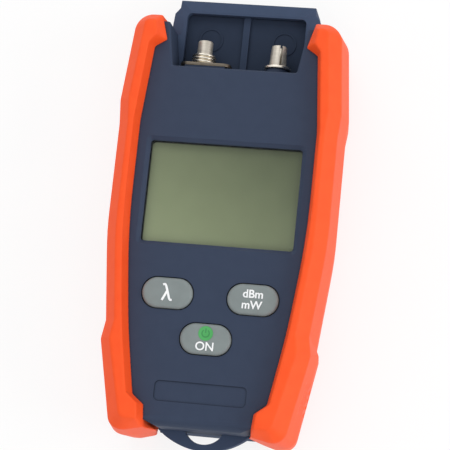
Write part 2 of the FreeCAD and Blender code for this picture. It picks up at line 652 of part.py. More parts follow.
# ---- battery
def battery_door():
    """Sliding door with thumb grooves near its free end."""
    door = door_form(0)
    for i in range(5):
        y = END_Y + 9.0 + 2.4 * i
        door = door.cut(box(-7.0, 7.0, y, y + 1.1, BACK_Z, BACK_Z + 0.5))
    return door


def cell(side):
    """AA cell; the two lie side by side and point opposite ways."""
    x = side * (CELL_R + CELL_GAP / 2)
    z = BACK_Z + DOOR_THICK + CELL_GAP + CELL_R
    start = TRAY_START + CONTACT
    can_y = start + CELL_NUB if side < 0 else start
    can = Part.makeCylinder(CELL_R, CELL_LONG - CELL_NUB, V(x, can_y, z), Y_AXIS)
    nub_y = start if side < 0 else start + CELL_LONG - CELL_NUB
    return can.fuse(Part.makeCylinder(CELL_NUB_R, CELL_NUB, V(x, nub_y, z), Y_AXIS))


def leaf_contact(x0, x1, y_wall, way):
    """Sheet contact on the tray's end wall, with a leaf that bows out to the cell."""
    z = BACK_Z + DOOR_THICK + CELL_GAP + CELL_R
    near, far = sorted((y_wall, y_wall + way * LEAF_SHEET))
    plate = box(x0, x1, near, far, z - CONTACT_HALF, z + CONTACT_HALF)
    half, inner = LEAF_WIDE / 2, LEAF_HALF - 1.0
    tip = y_wall + way * CONTACT
    for x in (x0 + (x1 - x0) / 4, x1 - (x1 - x0) / 4) if x1 - x0 > 12 else ((x0 + x1) / 2,):
        bow = [(y_wall, z - LEAF_HALF), (tip, z), (y_wall, z + LEAF_HALF), (y_wall, z + inner),
               (tip - way * LEAF_SHEET, z - 0.2), (y_wall, z - inner), (y_wall, z - LEAF_HALF)]
        arm = Part.makePolygon([V(x - half, y, height) for y, height in bow])
        plate = plate.fuse(Part.Face(arm).extrude(V(LEAF_WIDE, 0, 0)))
    return plate


def battery_bridge():
    half = TRAY_HALF - DOOR_LEDGE
    return leaf_contact(-half, half, TRAY_START, 1)


def end_contact(side):
    x = side * (CELL_R + CELL_GAP / 2)
    return leaf_contact(x - CONTACT_HALF, x + CONTACT_HALF, TRAY_END, -1)


# ---- fasteners
def case_screws():
    """Four pan-head screws, from the back through the rear bosses into the front ones."""
    screws = []
    for x, y in SCREWS:
        head = rod(SCREW_HEAD_R, x, y, HEAD_SEAT - SCREW_HEAD, HEAD_SEAT)
        screws.append(head.fuse(rod(SCREW_R, x, y, HEAD_SEAT, BOARD_Z + 6.0)))
    return Part.makeCompound(screws)


def build():
    case = case_back().fuse(prism(mirrored(case_half()), PARTING_Z, FACE_Z))
    nodes = {
        "front_cover": front_cover(),
        "rear_cover": rear_cover(),
        "left_bumper": grip(-1, case),
        "right_bumper": grip(1, case),
        "display_window": display_window(),
        "lcd_frame": lcd_frame(),
        "lcd_panel": lcd_panel(),
        "backlight": backlight(),
        "main_board": main_board(),
        "processor_chip": chip(-0.75 * CHIP_SIZE, POWER_Y - CHIP_BELOW_POWER, CHIP_SIZE),
        "amplifier_chip": chip(0.0, PANEL_Y - CHIP_SIZE, 0.625 * CHIP_SIZE),
        "port_panel": port_panel(),
        "detector_port": detector_port(),
        "detector_sleeve": detector_sleeve(),
        "port_screws": port_screws(),
        "photodiode": photodiode(),
        "light_port": light_port(),
        "light_sleeve": light_sleeve(),
        "light_source": light_source(),
        "battery_door": battery_door(),
        "battery_left": cell(-1),
        "battery_right": cell(1),
        "battery_bridge": battery_bridge(),
        "battery_plus_contact": end_contact(1),
        "battery_minus_contact": end_contact(-1),
        "case_screws": case_screws(),
    }
    for name, (x, y) in KEYS.items():
        nodes[name + "_key"] = key_cap(x, y)
        nodes[name + "_switch"] = switch_body(x, y)
        nodes[name + "_plunger"] = switch_plunger(x, y)
    return nodes


os.makedirs("parts", exist_ok=True)
for node, shape in build().items():
    if len(shape.Solids) == 1:
        shape = shape.Solids[0]
    bad = not shape.isValid()
    print(node, "solids", len(shape.Solids), "volume", round(shape.Volume, 1), "INVALID" if bad else "")
    shape.exportStep(f"parts/{node}.step")
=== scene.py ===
# %% [markdown]
# # A handheld optical power meter
# The meter is a flat slate-coloured case with two orange elastomer grips, a grey display,
# three keys and a bay at its head where two nickel-plated fibre ports stand. The packed
# solids already have the right sizes, so this file adds finishes, soft edges, the thread
# and the key legends, and sets the camera and the light.

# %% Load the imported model
import math

import bmesh
import bpy
import numpy as np
from mathutils import Matrix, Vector
from mathutils.bvhtree import BVHTree


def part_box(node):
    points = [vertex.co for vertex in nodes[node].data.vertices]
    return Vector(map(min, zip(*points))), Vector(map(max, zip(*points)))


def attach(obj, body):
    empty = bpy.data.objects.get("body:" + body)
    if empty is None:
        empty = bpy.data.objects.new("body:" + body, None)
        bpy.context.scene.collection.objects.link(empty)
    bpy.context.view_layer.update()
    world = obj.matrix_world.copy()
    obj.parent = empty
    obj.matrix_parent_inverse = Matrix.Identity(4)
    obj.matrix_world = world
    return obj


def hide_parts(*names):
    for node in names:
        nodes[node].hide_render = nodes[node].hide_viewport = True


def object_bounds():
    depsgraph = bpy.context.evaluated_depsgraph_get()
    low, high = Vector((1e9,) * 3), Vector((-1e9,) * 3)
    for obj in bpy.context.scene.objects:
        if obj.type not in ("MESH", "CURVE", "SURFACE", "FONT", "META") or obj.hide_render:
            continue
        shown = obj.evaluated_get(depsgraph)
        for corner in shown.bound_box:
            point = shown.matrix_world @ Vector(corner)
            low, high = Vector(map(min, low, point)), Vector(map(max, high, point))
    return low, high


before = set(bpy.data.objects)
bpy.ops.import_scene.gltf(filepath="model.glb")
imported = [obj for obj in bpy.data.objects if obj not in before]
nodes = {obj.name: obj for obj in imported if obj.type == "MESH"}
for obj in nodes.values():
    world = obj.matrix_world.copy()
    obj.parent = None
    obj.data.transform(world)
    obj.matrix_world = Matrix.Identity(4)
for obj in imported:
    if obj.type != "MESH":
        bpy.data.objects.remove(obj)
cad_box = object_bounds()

MM = 0.001
scene = bpy.context.scene
print("solids:", len(nodes), "box in mm:", [[round(v / MM, 1) for v in corner] for corner in cad_box])


# %% [markdown]
# ## Where to look from
# A long lens from far away keeps the case's edges nearly parallel. The camera stands to the
# lower right of the meter and looks down at the display, tilted a little, so its place is
# worked out from three angles and a distance instead of from bare coordinates.

# %% Camera
def aimed_camera(aim, yaw, pitch, roll, distance, slide, lens):
    """Camera above aim: yaw turns it towards +X and pitch towards -Y from straight overhead,
    roll turns the picture, and slide moves it along the picture's own right and up axes."""
    back = np.array([math.sin(yaw) * math.cos(pitch), -math.sin(pitch), math.cos(yaw) * math.cos(pitch)])
    level = np.cross((0, 1, 0), back)
    level /= np.linalg.norm(level)
    upright = np.cross(back, level)
    right = math.cos(roll) * level + math.sin(roll) * upright
    up = math.cos(roll) * upright - math.sin(roll) * level
    turned = np.eye(4)
    turned[:3, :3] = np.stack((right, up, back), axis=1)
    turned[:3, 3] = np.array(aim) + slide[0] * right + slide[1] * up + distance * back
    data = bpy.data.cameras.new("camera")
    data.lens, data.sensor_width = lens, 36
    data.clip_start, data.clip_end = 0.01, 10
    camera = bpy.data.objects.new("camera", data)
    camera.matrix_world = Matrix(turned.tolist())
    scene.collection.objects.link(camera)
    scene.camera = camera


def middle(node):
    """Centre of a solid's box."""
    low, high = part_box(node)
    return (np.array(low) + np.array(high)) / 2


FACE_Z = 31.5 * MM            # face of the front cover
YAW, PITCH, ROLL = (math.radians(turn) for turn in (9.2, 10.3, 6.0))
aimed_camera((*middle("display_window")[:2], FACE_Z), YAW, PITCH, ROLL, 632.3 * MM,
             slide=(1.3 * MM, -9.7 * MM), lens=160)
print("camera at mm:", [round(v / MM, 1) for v in scene.camera.matrix_world.translation])


# %% [markdown]
# ## Tools for materials
# Every finish is a small node tree. One function adds a node with its settings and links,
# another turns a hex colour into the linear numbers that the shader wants. Patterns read
# object coordinates in metres, so their scales can be given as real sizes.

# %% Material tools
def srgb(code):
    """Linear colour of a hex code: c / 12.92 up to 0.04045, else ((c + 0.055) / 1.055) ** 2.4."""
    parts = np.array([int(code[i:i + 2], 16) for i in (1, 3, 5)]) / 255
    linear = np.where(parts <= 0.04045, parts / 12.92, ((parts + 0.055) / 1.055) ** 2.4)
    return (*linear.tolist(), 1.0)


def add(tree, kind, sockets=None, **settings):
    """One node of that kind. Settings go on the node, sockets takes a value or a link by input."""
    node = tree.nodes.new("ShaderNode" + kind)
    for name, value in settings.items():
        setattr(node, name, value)
    for name, value in (sockets or {}).items():
        if isinstance(value, bpy.types.NodeSocket):
            tree.links.new(value, node.inputs[name])
        else:
            node.inputs[name].default_value = value
    return node


def empty_tree(owner):
    """Node tree of a material or a world, with nothing in it."""
    owner.use_nodes = True
    owner.node_tree.nodes.clear()
    return owner.node_tree


def shader_material(name, **constants):
    """A material with one Principled shader. Constants are set straight on its sockets."""
    made = bpy.data.materials.new(name)
    tree = empty_tree(made)
    shader = add(tree, "BsdfPrincipled", {k.replace("_", " "): v for k, v in constants.items()})
    add(tree, "OutputMaterial", {"Surface": shader.outputs["BSDF"]})
    return made, tree, shader


def noise(tree, size, detail=2.0, stretch=(1, 1, 1)):
    """Noise from object coordinates whose features are about size metres, stretched per axis."""
    place = add(tree, "Mapping", {"Vector": add(tree, "TexCoord").outputs["Object"],
                                  "Scale": tuple(1 / (size * s) for s in stretch)})
    return add(tree, "TexNoise", {"Vector": place.outputs["Vector"], "Scale": 1.0,
                                  "Detail": detail}).outputs["Fac"]


def blend_colours(tree, factor, low, high, low_at=0.3, high_at=0.7):
    """Colour ramp from low to high as factor goes from low_at to high_at."""
    ramp = add(tree, "ValToRGB", {"Fac": factor})
    ramp.color_ramp.elements[0].position, ramp.color_ramp.elements[1].position = low_at, high_at
    ramp.color_ramp.elements[0].color, ramp.color_ramp.elements[1].color = low, high
    return ramp.outputs["Color"]


def bump(tree, shader, height, depth):
    """Raises the surface by up to depth metres where height is 1."""
    made = add(tree, "Bump", {"Height": height, "Distance": depth, "Strength": 1.0})
    tree.links.new(made.outputs["Normal"], shader.inputs["Normal"])


print("slate in linear numbers:", [round(part, 4) for part in srgb("#303b50")[:3]])


# %% [markdown]
# ## Moulded finishes
# The case is an ABS blend with a fine spark-eroded texture, which real tools make at about
# 0.2 mm. The rear cover, which also forms the bay, is more matt, and its slate is painted
# lighter than the front cover's, as painted light for the hood and the eye, which get less
# light. The grips are a soft elastomer, a little glossier than the case. Shade in narrow gaps
# between moulded pieces is painted into the colour by an occlusion node with a reach of 0.9 mm.

# %% Case and grip finishes
def painted_crevice_shade(tree, colour, depth, reach=0.9 * MM):
    """Painted shade: colour that darkens by depth where other surfaces stand closer than reach."""
    free = add(tree, "AmbientOcclusion", {"Distance": reach}, samples=8)
    shade = add(tree, "MapRange", {"Value": free.outputs["AO"], "From Min": 0.45, "From Max": 0.95,
                                   "To Min": 1 - depth, "To Max": 1.0})
    return add(tree, "VectorMath", {0: colour, "Scale": shade.outputs["Result"]},
               operation="SCALE").outputs["Vector"]


def moulded(name, low, high, rough, grain, depth, mottling=4 * MM, crevice_shade=0.0, **more):
    """Moulded plastic: a slow drift between two near colours and a fine grain in the surface."""
    made, tree, shader = shader_material(name, **more)
    colour = blend_colours(tree, noise(tree, mottling), srgb(low), srgb(high))
    # Painted shade: the colour darkens in crevices by the given depth.
    if crevice_shade:
        colour = painted_crevice_shade(tree, colour, crevice_shade)
    tree.links.new(colour, shader.inputs["Base Color"])
    spread = add(tree, "MapRange", {"Value": noise(tree, grain * 3), "To Min": rough - 0.04,
                                    "To Max": rough + 0.04})
    tree.links.new(spread.outputs["Result"], shader.inputs["Roughness"])
    bump(tree, shader, noise(tree, grain, 3.0), depth)
    return made


# The crevice numbers are depths of painted shade in gaps and corners.
slate_abs = moulded("slate_abs_spark_texture", "#303b50", "#323d52", 0.62, 0.25 * MM, 0.006 * MM,
                    crevice_shade=0.6, Specular_IOR_Level=0.2)
# Painted light: the rear cover's slate is lighter than the front cover's, because less light reaches the
# hood and the eye.
rear_slate_painted_light_and_shade = moulded("slate_abs_rear_painted_light_and_shade", "#3f4c63", "#414e66", 0.7, 0.25 * MM, 0.006 * MM,
                    crevice_shade=0.1, Specular_IOR_Level=0.08)
orange_tpe = moulded("orange_elastomer_satin", "#f5531f", "#f85722", 0.52, 0.35 * MM, 0.008 * MM,
                     crevice_shade=0.15, Specular_IOR_Level=0.22)
grey_silicone = moulded("grey_key_silicone", "#7a8383", "#808989", 0.5, 0.3 * MM, 0.004 * MM, crevice_shade=0.5,
                        Specular_IOR_Level=0.3)
black_abs = moulded("black_abs_matt", "#1b1d20", "#202226", 0.55, 0.3 * MM, 0.005 * MM)
white_acrylic = moulded("white_acrylic_light_guide", "#e2e5dc", "#eceee6", 0.35, 0.5 * MM, 0.002 * MM)
white_pom = moulded("white_acetal", "#d5d6d2", "#deded9", 0.4, 0.3 * MM, 0.004 * MM)
legend_white = moulded("white_pad_print", "#e6eaec", "#f2f4f5", 0.5, 0.2 * MM, 0.001 * MM)
legend_green = moulded("green_pad_print", "#3f9c50", "#4aa55a", 0.5, 0.2 * MM, 0.001 * MM)
legend_dark = moulded("dark_green_pad_print", "#2e7f42", "#36884a", 0.5, 0.2 * MM, 0.001 * MM)
print("moulded finishes:", slate_abs.name, orange_tpe.name, grey_silicone.name)


# %% [markdown]
# ## Metals
# The ports are turned brass with bright nickel plate. A turned part carries fine rings round
# its axis, so the noise is stretched across Y by about twenty. The rings of a real tool mark
# are under 0.1 mm and are drawn at 0.2 mm so that they show. Screws are zinc-plated steel,
# contacts are nickel-plated spring steel, and a cell has a foil sleeve that is left plain.

# %% Metal finishes
def metal(name, low, high, rough, grain, stretch, depth=0.002 * MM, metallic=1.0):
    """Plated metal: two near tones, and a roughness that follows a stretched grain."""
    made, tree, shader = shader_material(name, Metallic=metallic)
    lines = noise(tree, grain, 3.0, stretch)
    tree.links.new(blend_colours(tree, lines, srgb(low), srgb(high)), shader.inputs["Base Color"])
    spread = add(tree, "MapRange", {"Value": lines, "To Min": rough - 0.06, "To Max": rough + 0.08})
    tree.links.new(spread.outputs["Result"], shader.inputs["Roughness"])
    bump(tree, shader, lines, depth)
    return made


nickel = metal("bright_nickel_plate", "#d2cabb", "#ebe5d9", 0.27, 0.2 * MM, (20, 1, 20), 0.0006 * MM)
# Painted reflection: the flange's nickel is dark, standing in for the dark surroundings that it reflects.
brushed_nickel_painted_dark = metal("brushed_nickel_painted_reflection", "#5d564d", "#746c61", 0.4, 0.15 * MM, (12, 1, 1))
satin_nickel = metal("satin_nickel_plate", "#b2ab9f", "#c8c2b7", 0.33, 0.2 * MM, (20, 1, 20),
                     0.0006 * MM, metallic=0.6)
zinc = metal("zinc_plated_steel", "#9fa1a3", "#b9bbbd", 0.34, 0.2 * MM, (1, 1, 4))
spring = metal("nickel_spring_steel", "#a9a59b", "#c5c1b6", 0.28, 0.15 * MM, (6, 1, 1))
can = metal("cell_sleeve_foil", "#7c8084", "#8f9397", 0.4, 0.3 * MM, (1, 12, 1))
print("metals:", nickel.name, zinc.name, spring.name, can.name)


# %% [markdown]
# ## Display and electronics
# The display is a bare reflective LCD: olive grey, with a painted reflection that makes it a
# little darker to the upper right, and painted shade in a dark surround under the window's rim.
# Its cover is clear acrylic, so the cover is a transparent shader with a gloss that grows with
# the angle. The boards inside only show through the openings.

# %% Display finishes
def clear_cover(name, tint, gloss):
    """Thin clear sheet: see-through, with a Fresnel share of gloss on top."""
    made = bpy.data.materials.new(name)
    tree = empty_tree(made)
    through = add(tree, "BsdfTransparent", {"Color": srgb(tint)})
    shine = add(tree, "BsdfGlossy", {"Color": (1, 1, 1, 1), "Roughness": gloss})
    share = add(tree, "Fresnel", {"IOR": 1.3})
    mix = add(tree, "MixShader", {0: share.outputs["Fac"], 1: through.outputs["BSDF"],
                                  2: shine.outputs["BSDF"]})
    add(tree, "OutputMaterial", {"Surface": mix.outputs["Shader"]})
    return made


def rounded_field(tree, centre, half, radius, fade):
    """1 inside a rounded rectangle in object x and y, 0 outside.

    With q = max(|p - centre| - half + radius, 0) the distance outside is |q| - radius.
    """
    place = add(tree, "TexCoord").outputs["Object"]
    away = add(tree, "VectorMath", {0: place, 1: (centre[0], centre[1], 0)}, operation="SUBTRACT")
    away = add(tree, "VectorMath", {0: away.outputs["Vector"]}, operation="ABSOLUTE")
    over = add(tree, "VectorMath", {0: away.outputs["Vector"],
                                    1: (half[0] - radius, half[1] - radius, 1.0)}, operation="SUBTRACT")
    over = add(tree, "VectorMath", {0: over.outputs["Vector"], 1: (0, 0, 0)}, operation="MAXIMUM")
    length = add(tree, "VectorMath", {0: over.outputs["Vector"]}, operation="LENGTH")
    return add(tree, "MapRange", {"Value": length.outputs["Value"], "From Min": radius - fade,
                                  "From Max": radius, "To Min": 1.0, "To Max": 0.0}).outputs["Result"]


LENS_LAP = 2.0 * MM           # display window beyond its opening, all round


def reflective_lcd(name):
    """LCD glass at rest: an olive field that darkens towards +X and +Y as painted reflection, in a dark
    surround that is painted shade under the window's rim.
    """
    made, tree, shader = shader_material(name, Roughness=0.45, Specular_IOR_Level=0.15)
    low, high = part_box("lcd_panel")
    across = add(tree, "Mapping", {"Vector": add(tree, "TexCoord").outputs["Object"],
                                   "Location": (0.5, -middle("lcd_panel")[1] / (high[1] - low[1]) + 0.5, 0),
                                   "Scale": (1 / (high[0] - low[0]), 1 / (high[1] - low[1]), 1)})
    parts = add(tree, "SeparateXYZ", {"Vector": across.outputs["Vector"]})
    total = add(tree, "Math", {0: parts.outputs["X"], 1: parts.outputs["Y"]}, operation="ADD")
    half = add(tree, "Math", {0: total.outputs["Value"], 1: 0.5}, operation="MULTIPLY")
    # Painted reflection: the olive darkens along x + y; the noise adds random mottle.
    painted_reflection_and_mottle = add(tree, "Math", {0: noise(tree, 6 * MM), 1: 0.12, 2: half.outputs["Value"]},
               operation="MULTIPLY_ADD")
    tone = blend_colours(tree, painted_reflection_and_mottle.outputs["Value"], srgb("#b6bd9e"), srgb("#666e55"), 0.1, 1.0)
    glass_low, glass_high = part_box("display_window")
    field = rounded_field(tree, middle("display_window"),
                          [(b - a) / 2 - LENS_LAP for a, b in zip(glass_low, glass_high)][:2],
                          1.5 * MM, 0.25 * MM)
    # Painted shade: the dark surround outside the window's opening.
    both = add(tree, "Mix", {"Factor": field, "A": srgb("#2a2e30"), "B": tone}, data_type="RGBA")
    tree.links.new(both.outputs["Result"], shader.inputs["Base Color"])
    return made


acrylic = clear_cover("coated_acrylic_cover", "#f8faf6", 0.08)
lcd = reflective_lcd("reflective_lcd_olive")
solder_mask = moulded("green_solder_mask", "#1d4a33", "#215339", 0.38, 0.4 * MM, 0.004 * MM)
epoxy = moulded("black_moulded_epoxy", "#1d1e20", "#26272a", 0.5, 0.15 * MM, 0.004 * MM)
print("display finishes:", acrylic.name, lcd.name)


# %% [markdown]
# ## Finish per solid
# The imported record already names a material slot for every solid, so one table from slot to
# finish dresses them all.

# %% Dress the solids
FINISH = {"case_plastic": slate_abs, "grip_elastomer": orange_tpe, "key_plastic": grey_silicone,
          "clear_window": acrylic, "lcd_glass": lcd, "light_guide": white_acrylic,
          "frame_plastic": black_abs, "board_laminate": solder_mask, "chip_epoxy": epoxy,
          "plunger_plastic": white_pom, "nickel_plate": nickel, "screw_steel": zinc,
          "cell_can": can, "contact_steel": spring}
for name, node in nodes.items():
    for index, old in enumerate(node.data.materials):
        slot = next(key for key in FINISH if old.name.startswith(key))
        node.material_slots[index].material = FINISH[slot]
print("dressed", len(nodes), "solids from", len(FINISH), "finishes")


# %% [markdown]
# ## Floor of the connector bay
# The floor of the bay lies deep between walls and swallows stray light, so shade falls there.
# That shade is painted: the colour is darker inside a box that comes from the solids, and fades
# to the cover's own slate over half a millimetre. The box ends just under the top of the rib,
# which stays a little lighter.

# %% Darker bay
def inside_range(tree, value, low, high, fade):
    """1 between low and high, 0 outside, with a linear fade at both ends."""
    rise = add(tree, "MapRange", {"Value": value, "From Min": low - fade, "From Max": low})
    fall = add(tree, "MapRange", {"Value": value, "From Min": high, "From Max": high + fade,
                                  "To Min": 1.0, "To Max": 0.0})
    return add(tree, "Math", {0: rise.outputs["Result"], 1: fall.outputs["Result"]},
               operation="MULTIPLY").outputs["Value"]


def darken_inside(material, low, high, share):
    """Scales the base colour towards share of itself inside a box in object coordinates."""
    tree = material.node_tree
    shader = next(node for node in tree.nodes if node.type == "BSDF_PRINCIPLED")
    colour = shader.inputs["Base Color"].links[0].from_socket
    axes = add(tree, "SeparateXYZ", {"Vector": add(tree, "TexCoord").outputs["Object"]})
    mask = None
    for axis, a, b in zip("XYZ", low, high):
        part = inside_range(tree, axes.outputs[axis], a, b, 0.5 * MM)
        mask = part if mask is None else add(tree, "Math", {0: mask, 1: part},
                                             operation="MULTIPLY").outputs["Value"]
    shade = add(tree, "MapRange", {"Value": mask, "To Min": 1.0, "To Max": share})
    scaled = add(tree, "VectorMath", {0: colour, "Scale": shade.outputs["Result"]}, operation="SCALE")
    tree.links.new(scaled.outputs["Vector"], shader.inputs["Base Color"])


POCKET_HALF = 19.8 * MM       # half the width of the bay's floor
hood_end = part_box("rear_cover")[1][1]
panel_low, panel_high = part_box("port_panel")
# Painted shade: the bay floor's colour is scaled to 0.54 of itself.
darken_inside(rear_slate_painted_light_and_shade, (-POCKET_HALF, panel_high[1] - 6 * MM, panel_low[2] - MM),
              (POCKET_HALF, hood_end - 3 * MM, panel_low[2] + 0.8 * MM), 0.54)
nodes["rear_cover"].material_slots[0].material = rear_slate_painted_light_and_shade
print("bay from", panel_high[1] / MM, "to", hood_end / MM, "floor at", panel_low[2] / MM)


# %% [markdown]
# ## Mesh tools
# New pieces are parametric grids: arrays of points from a formula, and faces that join the
# rows. Sizes below are in millimetres and turn into metres in one place, when a piece is made.

# %% Mesh tools
def new_piece(name, points, faces, finish, body="case"):
    """Smooth-shaded object from points in mm and faces, riding on a body."""
    mesh = bpy.data.meshes.new(name)
    mesh.from_pydata((np.asarray(points) * MM).tolist(), [], faces)
    work = bmesh.new()
    work.from_mesh(mesh)
    bmesh.ops.remove_doubles(work, verts=work.verts, dist=1e-8)
    bmesh.ops.recalc_face_normals(work, faces=work.faces)
    work.to_mesh(mesh)
    work.free()
    mesh.shade_smooth()
    mesh.set_sharp_from_angle(angle=math.radians(40))
    mesh.materials.append(finish)
    made = bpy.data.objects.new(name, mesh)
    scene.collection.objects.link(made)
    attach(made, body)
    return made


def grid_faces(rows, columns, loop_rows=False, loop_columns=True):
    """Quads of a grid of points numbered row by row; a looped direction joins its last to its first."""
    i, j = np.meshgrid(np.arange(rows - (not loop_rows)), np.arange(columns - (not loop_columns)),
                       indexing="ij")
    i, j = i.ravel(), j.ravel()
    up, on = (i + 1) % rows, (j + 1) % columns
    return np.stack((i * columns + j, i * columns + on, up * columns + on, up * columns + j), axis=1)


def arc(centre, radius, start, stop, count=6):
    """Points of an arc in a profile, angles in degrees from the first axis."""
    turn = np.radians(np.linspace(start, stop, count))
    return np.stack((centre[0] + radius * np.cos(turn), centre[1] + radius * np.sin(turn)), axis=1)


def mm_box(node):
    """Lowest and highest corner of a solid in mm."""
    return [np.array(corner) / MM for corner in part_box(node)]


def mesh_points(mesh):
    """Corners of a mesh as an (n, 3) array."""
    points = np.empty(len(mesh.vertices) * 3)
    mesh.vertices.foreach_get("co", points)
    return points.reshape(-1, 3)


def mesh_of(name, data, change=None):
    """Final mesh of a draft object made from that data, after change has set it up."""
    draft = bpy.data.objects.new(name + "_draft", data)
    scene.collection.objects.link(draft)
    if change:
        change(draft)
    mesh = bpy.data.meshes.new_from_object(draft.evaluated_get(bpy.context.evaluated_depsgraph_get()))
    bpy.data.objects.remove(draft)
    return mesh


print("a looped grid of 3 by 4 points has", len(grid_faces(3, 4)), "quads")


# %% [markdown]
# ## Elastomer grips
# The real grips are overmoulded onto the case, and every edge between their facets is rounded
# by almost a millimetre. The solid has sharp corners, so a merged copy is remeshed to small
# even cells and relaxed, which rounds all the edges alike. Before that the faces that touch
# the case are pushed into it a little, so the seam stays a clean line.

# %% Grips
def welded(node):
    """Merged bmesh of a solid."""
    work = bmesh.new()
    work.from_mesh(nodes[node].data)
    bmesh.ops.remove_doubles(work, verts=work.verts, dist=2e-6)
    work.normal_update()
    return work


def push_into(work, tree, depth, reach):
    """Moves the faces that lie on the tree's surface along their normals, by depth.

    A corner moves once for each direction, so it keeps its place between faces that meet.
    """
    pushes = {}
    for face in work.faces:
        spot, normal, _, distance = tree.find_nearest(face.calc_center_median())
        if distance > reach or normal.dot(face.normal) > -0.9:
            continue
        for corner in face.verts:
            known = pushes.setdefault(corner, [])
            if all(face.normal.dot(other) < 0.8 for other in known):
                known.append(face.normal.copy())
    for corner, ways in pushes.items():
        for way in ways:
            corner.co += way * depth
    return len(pushes)


SEAM_PUSH, SEAM_REACH = 0.7 * MM, 0.15 * MM


def relaxed_copy(name, node, cell, rounds, keep):
    """Remesh to cells of that size, some rounds of smoothing, and a share of the faces kept."""
    covers = [welded("front_cover"), welded("rear_cover")]
    work = welded(node)
    moved = [push_into(work, BVHTree.FromBMesh(cover), SEAM_PUSH, SEAM_REACH) for cover in covers]
    mesh = bpy.data.meshes.new(name + "_draft")
    work.to_mesh(mesh)
    for used in (work, *covers):
        used.free()

    def relax(draft):
        cells = draft.modifiers.new("cells", "REMESH")
        cells.mode, cells.voxel_size = "VOXEL", cell
        smooth = draft.modifiers.new("relax", "SMOOTH")
        smooth.factor, smooth.iterations = 0.5, rounds
        draft.modifiers.new("fewer", "DECIMATE").ratio = keep

    relaxed = mesh_of(name, mesh, relax)
    relaxed.materials.clear()
    relaxed.materials.append(orange_tpe)
    relaxed.shade_smooth()
    made = bpy.data.objects.new(name, relaxed)
    scene.collection.objects.link(made)
    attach(made, "case")
    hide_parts(node)
    print(name, "pushed corners:", moved, "faces:", len(relaxed.polygons))


for side in ("left", "right"):
    relaxed_copy(side + "_grip", side + "_bumper", cell=0.3 * MM, rounds=14, keep=0.5)


# %% [markdown]
# ## Fibre ports
# Both ports are turned parts, so each is a profile swept round its axis. The detector port
# has an M8 thread for the coupling nut, cut here as a real helix but drawn coarser than the
# real 0.75 mm pitch, so that its ridges still read from a distance.

# %% Turned pieces
def turned(name, profile, axis, finish, slot, thread=None, slit=0.0, slit_turn=0.0, around=96):
    """Closed (radius, y) profile swept round a port's axis.

    thread = (start, stop, pitch, depth) takes depth * |2 frac((y - start) / pitch - turn) - 1| ** 2.5
    off the radius between start and stop, which leaves round crests and narrow grooves. It cuts
    only where the radius is over axis[2]. slit is the width of a slot, and slit_turn its angle.
    """
    profile = np.asarray(profile, float)
    r, y = profile[:, :1], profile[:, 1:]
    u = np.arange(around) / around if not slit else np.linspace(0, 1, around)
    half = np.arcsin(np.clip(slit / 2 / np.maximum(r, 1e-6), 0, 0.9))
    angle = math.radians(slit_turn) + half + u * (2 * math.pi - 2 * half)
    if thread:
        start, stop, pitch, depth = thread
        phase = (y - start) / pitch - u
        wave = np.abs(2 * (phase - np.floor(phase)) - 1)
        inside = np.clip((y - start) / 0.3, 0, 1) * np.clip((stop - y) / 0.3, 0, 1) * (r > axis[2])
        r = r - depth * wave ** 2.5 * inside
    points = np.stack((axis[0] + r * np.cos(angle), y + 0 * angle, axis[1] + r * np.sin(angle)), axis=-1)
    rows = len(profile)
    faces = grid_faces(rows, around, loop_rows=True, loop_columns=not slit).tolist()
    if slit:
        first = (np.arange(rows) * around).tolist()
        last = (np.arange(rows) * around + around - 1).tolist()
        faces += [first, last[::-1]]
    return new_piece(name, points.reshape(-1, 3), faces, finish)


port_low, port_high = mm_box("detector_port")
sleeve_low, sleeve_high = mm_box("detector_sleeve")
axis_z = (port_low[2] + port_high[2]) / 2
left_x = (sleeve_low[0] + sleeve_high[0]) / 2
THREAD_R, THREAD_LONG, PITCH_DRAWN, THREAD_DEEP = 4.0, 3.3, 1.05, 0.62
SEAT_R, FERRULE_R = 3.2, 1.26
SOLID_R = 9                   # more than any radius here: no thread is cut
thread_top = port_high[1]
flange_top = thread_top - THREAD_LONG
sleeve_r = (sleeve_high[0] - sleeve_low[0]) / 2
bore_r = sleeve_r + 0.03
thread_y = np.linspace(flange_top + 0.05, thread_top - 0.25, 52)
collar = np.concatenate(([(bore_r, port_low[1]), (SEAT_R, port_low[1]), (SEAT_R, flange_top - 0.6),
                          (THREAD_R - 0.35, flange_top - 0.5), (THREAD_R - 0.35, flange_top)],
                         np.stack((np.full(len(thread_y), THREAD_R), thread_y), axis=1),
                         [(THREAD_R - 0.3, thread_top), (bore_r + 0.15, thread_top),
                          (bore_r, thread_top - 0.15)]))
turned("detector_collar", collar, (left_x, axis_z, 3.5), nickel, "nickel_plate",
       thread=(flange_top, thread_top, PITCH_DRAWN, THREAD_DEEP))

tip = sleeve_high[1]
sleeve = np.concatenate(([(FERRULE_R, sleeve_low[1]), (sleeve_r, sleeve_low[1])],
                         arc((sleeve_r - 0.5, tip - 0.5), 0.5, 0, 90),
                         [(FERRULE_R + 0.2, tip), (FERRULE_R, tip - 0.2)]))
detector_sleeve = turned("polished_sleeve", sleeve, (left_x, axis_z, SOLID_R), satin_nickel,
                         "nickel_plate")
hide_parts("detector_sleeve")
print("collar from", flange_top, "to", thread_top, "sleeve tip", tip)


# %% [markdown]
# ## Flange of the detector port
# The flange is stamped from sheet, with a round hole for the collar and two for its screws. A
# filled curve gives such a plate its holes and rounded rims in one go, and its mesh is then
# laid across Y. A boolean on a solid plate would do too, but leaves untidy rims.

